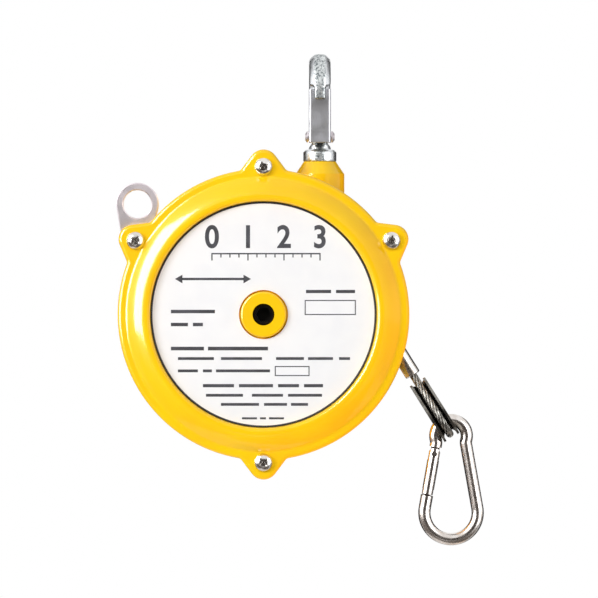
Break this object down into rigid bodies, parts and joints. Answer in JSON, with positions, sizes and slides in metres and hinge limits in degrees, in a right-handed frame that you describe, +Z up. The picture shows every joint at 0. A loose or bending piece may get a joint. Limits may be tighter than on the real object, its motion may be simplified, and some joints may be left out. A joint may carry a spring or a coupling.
{
  "type": "tool balancer",
  "caption": "Spring balancer for a hand tool: a round case with a spring-loaded rope drum, hung from a swivel hook, with a wire rope that ends in a thimble and snap hook.",
  "frame": {"origin": "inside top of the suspension hook's bow, on the swivel axis, where the weight is carried", "axes": "+Z up along the swivel axis; the round cover faces -Y; +X is to the right seen from the front, so the safety lug is on the left and the rope leaves at the lower right"},
  "size_m": [0.1398, 0.0467, 0.1873],
  "materials": {
    "case_paint": "yellow gloss enamel over a light-metal casting",
    "screw_chrome": "bright plated",
    "label_sheet": "printed, satin",
    "nickel_plate": "nickel plated",
    "guide_plastic": "moulded",
    "bush_brass": "plain",
    "spring_steel": "drawn and blued",
    "dark_steel": "blackened",
    "drum_plastic": "moulded",
    "rope_steel": "stranded wire",
    "hook_steel": "forged and plated",
    "latch_sheet": "zinc plated sheet",
    "ferrule_metal": "pressed, tarnished",
    "thimble_sheet": "plated sheet",
    "snap_steel": "polished"
  },
  "bodies": {
    "housing": {"rear_case": "case_paint", "front_cover": "case_paint", "case_screws": "screw_chrome", "nameplate": "label_sheet", "safety_lug": "nickel_plate", "rope_guide": "guide_plastic", "neck_bush": "bush_brass", "rear_bush": "bush_brass", "click_spring": "spring_steel", "click_pin": "dark_steel"},
    "arbor": {"arbor": "dark_steel", "ratchet_wheel": "dark_steel", "thrust_washers": "guide_plastic", "main_spring": "spring_steel"},
    "drum": {"drum": "drum_plastic", "drum_plate": "drum_plastic", "plate_screws": "screw_chrome", "drum_bush": "bush_brass", "drum_rope": "rope_steel", "rope_anchor": "ferrule_metal"},
    "hook": {"top_hook": "hook_steel", "hook_washer": "nickel_plate", "hook_ring": "spring_steel", "latch_rivet": "nickel_plate", "latch_spring": "spring_steel"},
    "latch": {"latch": "latch_sheet"},
    "rope_end": {"rope_lead": "rope_steel", "ferrule": "ferrule_metal", "rope_eye": "rope_steel", "thimble": "thimble_sheet"},
    "carabiner": {"carabiner_body": "snap_steel", "gate_rivet": "snap_steel"},
    "gate": {"gate": "snap_steel", "gate_plunger": "snap_steel", "gate_spring": "spring_steel"}
  },
  "joints": [
    {"name": "hook_swivel", "type": "hinge", "parent": "housing", "child": "hook", "pos_m": [0, 0, 0], "axis": [0, 0, 1], "continuous": true},
    {"name": "latch_hinge", "type": "hinge", "parent": "hook", "child": "latch", "pos_m": [0, -0.0045, -0.025], "axis": [-1, 0, 0], "range_deg": [0, 35], "stiffness_Nm_per_rad": 0.02, "springref_deg": -28.65, "deforming": ["latch_spring"]},
    {"name": "drum_spin", "type": "hinge", "parent": "housing", "child": "drum", "pos_m": [-0.0214, 0, -0.0926], "axis": [0, 1, 0], "range_deg": [0, 1450], "deforming": ["main_spring", "rope_lead"]},
    {"name": "rope_pull", "type": "slide", "parent": "housing", "child": "rope_end", "axis": [0.5299, 0, -0.848], "range_m": [0, 1], "stiffness_N_per_m": 2, "springref_m": -2.5, "deforming": ["rope_lead"]},
    {"name": "arbor_turn", "type": "hinge", "parent": "housing", "child": "arbor", "pos_m": [-0.0214, 0, -0.0926], "axis": [0, -1, 0], "range_deg": [0, 1440], "deforming": ["main_spring", "click_spring"]},
    {"name": "carabiner_swing", "type": "hinge", "parent": "rope_end", "child": "carabiner", "pos_m": [0.04993, -0.00645, -0.13882], "axis": [0, 1, 0], "range_deg": [-60, 60]},
    {"name": "gate_hinge", "type": "hinge", "parent": "carabiner", "child": "gate", "pos_m": [0.04356, -0.00645, -0.14572], "axis": [0, -1, 0], "range_deg": [0, 20], "stiffness_Nm_per_rad": 0.1, "springref_deg": -20.05}
  ],
  "couplings": [
    {"joint": "rope_pull", "follows": "drum_spin", "m_per_rad": 0.0395}
  ]
}
